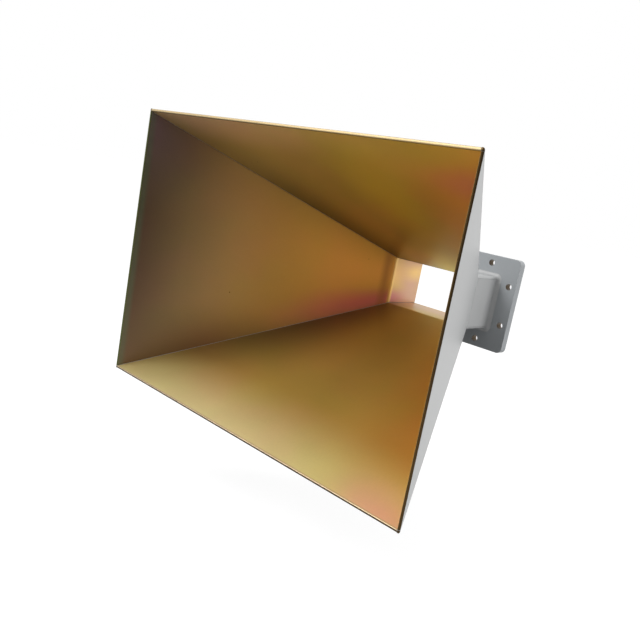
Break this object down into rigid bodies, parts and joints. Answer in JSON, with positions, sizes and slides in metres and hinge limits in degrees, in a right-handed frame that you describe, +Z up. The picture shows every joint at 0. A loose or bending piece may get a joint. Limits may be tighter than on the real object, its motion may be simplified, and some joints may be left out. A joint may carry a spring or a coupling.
{
  "type": "horn antenna",
  "caption": "Pyramidal horn antenna of four bent and welded plates, with a rectangular waveguide neck through a drilled bolt flange.",
  "frame": {"origin": "centre of the flange's mating face, on the waveguide's axis", "axes": "+Y out of the mating face and back along the waveguide, so the mouth opens towards -Y; +X along the broad wall; +Z up, along the narrow wall"},
  "size_m": [0.3984, 0.3205, 0.2766],
  "materials": {
    "plate": "aluminium sheet, iridescent gold conversion coat inside, light grey satin paint outside",
    "weld": "dressed weld under light grey satin paint",
    "flange": "light grey satin paint, bare gold coat in the bolt holes and on the mating face"
  },
  "bodies": {
    "root": {"top_plate": "plate", "bottom_plate": "plate", "left_plate": "plate", "right_plate": "plate", "seam_weld_top_left": "weld", "seam_weld_top_right": "weld", "seam_weld_bottom_left": "weld", "seam_weld_bottom_right": "weld", "flange": "flange", "flange_weld": "weld"}
  },
  "joints": []
}
